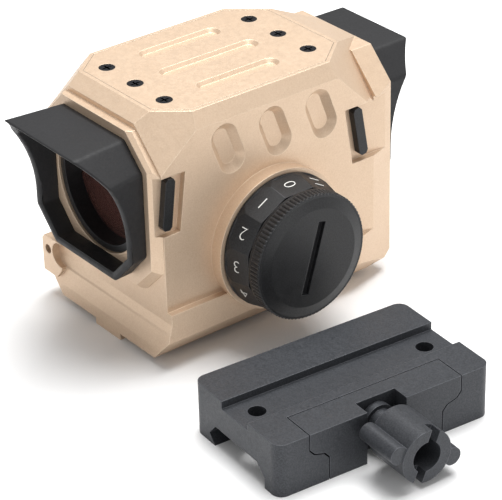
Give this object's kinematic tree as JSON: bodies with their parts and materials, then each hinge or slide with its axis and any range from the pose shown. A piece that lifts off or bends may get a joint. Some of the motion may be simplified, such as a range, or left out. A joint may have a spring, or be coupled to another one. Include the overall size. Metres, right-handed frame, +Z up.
{
  "type": "enclosed red dot sight with rail mount",
  "caption": "Enclosed red dot sight with rubber hoods, a side brightness dial and a separate clamping rail mount.",
  "frame": {"origin": "centre of the underside of the sight's base tongue", "axes": "+Y along the line of sight towards the rear window, +X out of the brightness dial, +Z up"},
  "size_m": [0.1243, 0.1011, 0.0629],
  "materials": {
    "tan_anodised": "bead blasted, satin",
    "black_anodised": "satin",
    "grey_anodised": "satin",
    "hood_rubber": "matt, fine grain",
    "coated_glass": "polished, coated",
    "steel": "turned",
    "black_steel": "blackened",
    "contact_brass": "plated",
    "board_green": "matt",
    "black_plastic": "matt",
    "amber_film": "satin",
    "red_lamp": "gloss"
  },
  "bodies": {
    "sight": {"housing": "tan_anodised", "top_plate": "tan_anodised", "top_plate_screws": "black_steel", "front_hood": "hood_rubber", "rear_hood": "hood_rubber", "front_hood_bars": "black_anodised", "rear_hood_bars": "black_anodised", "front_window": "coated_glass", "front_retaining_ring": "black_anodised", "rear_window": "coated_glass", "rear_retaining_ring": "black_anodised", "emitter_bracket": "black_anodised", "led_emitter": "red_lamp", "bracket_spring": "steel", "circuit_board": "board_green", "flex_cable": "amber_film", "rotary_switch": "black_plastic", "detent_ball": "steel", "detent_spring": "steel"},
    "brightness_dial": {"brightness_dial": "black_anodised", "dial_spindle": "steel", "battery": "steel", "battery_spring": "contact_brass"},
    "cap_thread_travel": {"cap_seal": "hood_rubber"},
    "battery_cap": {"battery_cap": "black_anodised"},
    "windage_screw": {"windage_screw": "black_steel"},
    "elevation_screw": {"elevation_screw": "black_steel"},
    "rail_mount": {"mount_base": "grey_anodised", "jaw_guide_pins": "steel", "jaw_springs": "steel", "clamp_bolt": "black_steel"},
    "clamp_jaw": {"clamp_jaw": "grey_anodised"},
    "thumb_nut": {"thumb_nut": "grey_anodised"}
  },
  "joints": [
    {"name": "dial_turn", "type": "hinge", "parent": "sight", "child": "brightness_dial", "pos_m": [0.023, -0.003, 0.0252], "axis": [1, 0, 0], "range_deg": [0, 330]},
    {"name": "cap_travel", "type": "slide", "parent": "brightness_dial", "child": "cap_thread_travel", "axis": [1, 0, 0], "range_m": [0, 0.0031]},
    {"name": "cap_unscrew", "type": "hinge", "parent": "cap_thread_travel", "child": "battery_cap", "pos_m": [0.0342, -0.003, 0.0252], "axis": [1, 0, 0], "range_deg": [0, 1080]},
    {"name": "windage_turn", "type": "hinge", "parent": "sight", "child": "windage_screw", "pos_m": [-0.0226, 0.025, 0.027], "axis": [-1, 0, 0], "range_deg": [-360, 360]},
    {"name": "elevation_turn", "type": "hinge", "parent": "sight", "child": "elevation_screw", "pos_m": [-0.0226, 0.015, 0.027], "axis": [-1, 0, 0], "range_deg": [-360, 360]},
    {"name": "mount_set_down", "type": "slide", "parent": "sight", "child": "rail_mount", "axis": [-0.0819, -0.9966, 0], "range_m": [0, 0.03]},
    {"name": "jaw_open", "type": "slide", "parent": "rail_mount", "child": "clamp_jaw", "axis": [0.9966, -0.0819, 0], "range_m": [0, 0.0031]},
    {"name": "nut_turn", "type": "hinge", "parent": "clamp_jaw", "child": "thumb_nut", "pos_m": [0.08944, -0.01932, 0.008], "axis": [0.9966, -0.0819, 0], "range_deg": [0, 1260]}
  ],
  "couplings": [
    {"joint": "cap_travel", "follows": "cap_unscrew", "m_per_rad": 0.00015915},
    {"joint": "jaw_open", "follows": "nut_turn", "m_per_rad": 0.00012732}
  ]
}
